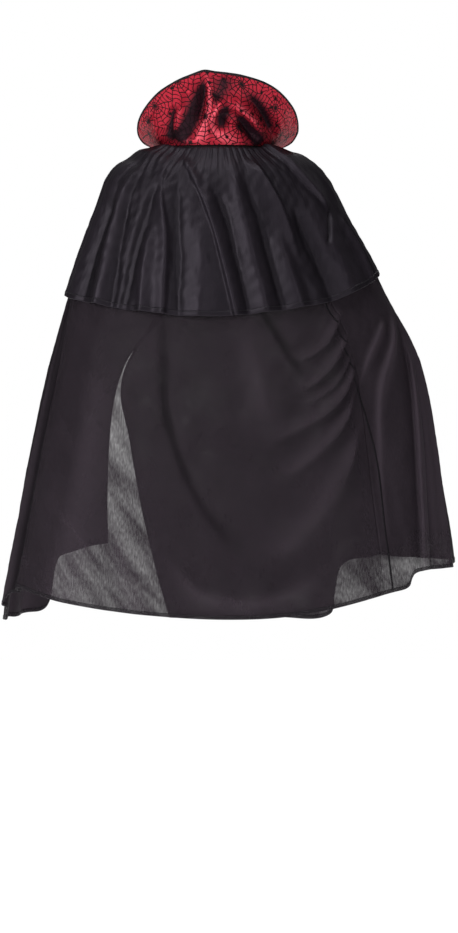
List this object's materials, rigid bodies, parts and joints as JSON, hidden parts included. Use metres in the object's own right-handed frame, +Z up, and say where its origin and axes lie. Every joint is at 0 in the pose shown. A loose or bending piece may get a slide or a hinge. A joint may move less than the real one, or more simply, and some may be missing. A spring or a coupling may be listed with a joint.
{
  "type": "child's vampire cape",
  "caption": "Thin child's cape with a gathered satin shoulder capelet and a stand-up printed collar, hanging as worn from a neck band with a hook-and-loop tab.",
  "frame": {"origin": "middle of the neckline, level with the neck seam at the centre back", "axes": "+Z up the wearer's body, -Y the way the wearer faces, +X towards the wearer's left"},
  "size_m": [0.6984, 0.378, 0.8491],
  "materials": {
    "cape_cloth": "thin black knit polyester, slightly see-through, dull satin sheen",
    "capelet_satin": "black satin with soft streaked highlights along the folds",
    "collar_print": "red satin printed with fine black spider webs",
    "collar_core": "pale stiff nonwoven interlining, hidden inside",
    "edge_tape": "black woven tape, dull",
    "loop_tape": "black looped pile",
    "hook_tape": "black stiff hook tape",
    "label_tape": "plain white satin tape, no print"
  },
  "bodies": {
    "cape": {"back_panel": "cape_cloth", "left_shoulder_panel": "cape_cloth", "right_shoulder_panel": "cape_cloth", "capelet": "capelet_satin", "collar_outer": "collar_print", "collar_lining": "collar_print", "collar_interlining": "collar_core", "collar_binding": "edge_tape", "neck_band": "edge_tape", "loop_strip": "loop_tape", "care_label": "label_tape"},
    "left_front": {"left_front_panel": "cape_cloth"},
    "right_front": {"right_front_panel": "cape_cloth"},
    "tab": {"closing_tab": "edge_tape", "hook_strip": "hook_tape"}
  },
  "joints": [
    {"name": "left_front_swing", "type": "hinge", "parent": "cape", "child": "left_front", "pos_m": [0.30715, 0.07347, -0.674], "axis": [-0.1877, -0.0793, 0.979], "range_deg": [0, 70]},
    {"name": "right_front_swing", "type": "hinge", "parent": "cape", "child": "right_front", "pos_m": [-0.25166, 0.14993, -0.663], "axis": [-0.1208, 0.1318, -0.9839], "range_deg": [0, 55]},
    {"name": "tab_peel", "type": "hinge", "parent": "cape", "child": "tab", "pos_m": [0.0126, -0.06972, -0.008], "axis": [0, 0, 1], "range_deg": [0, 105]}
  ]
}
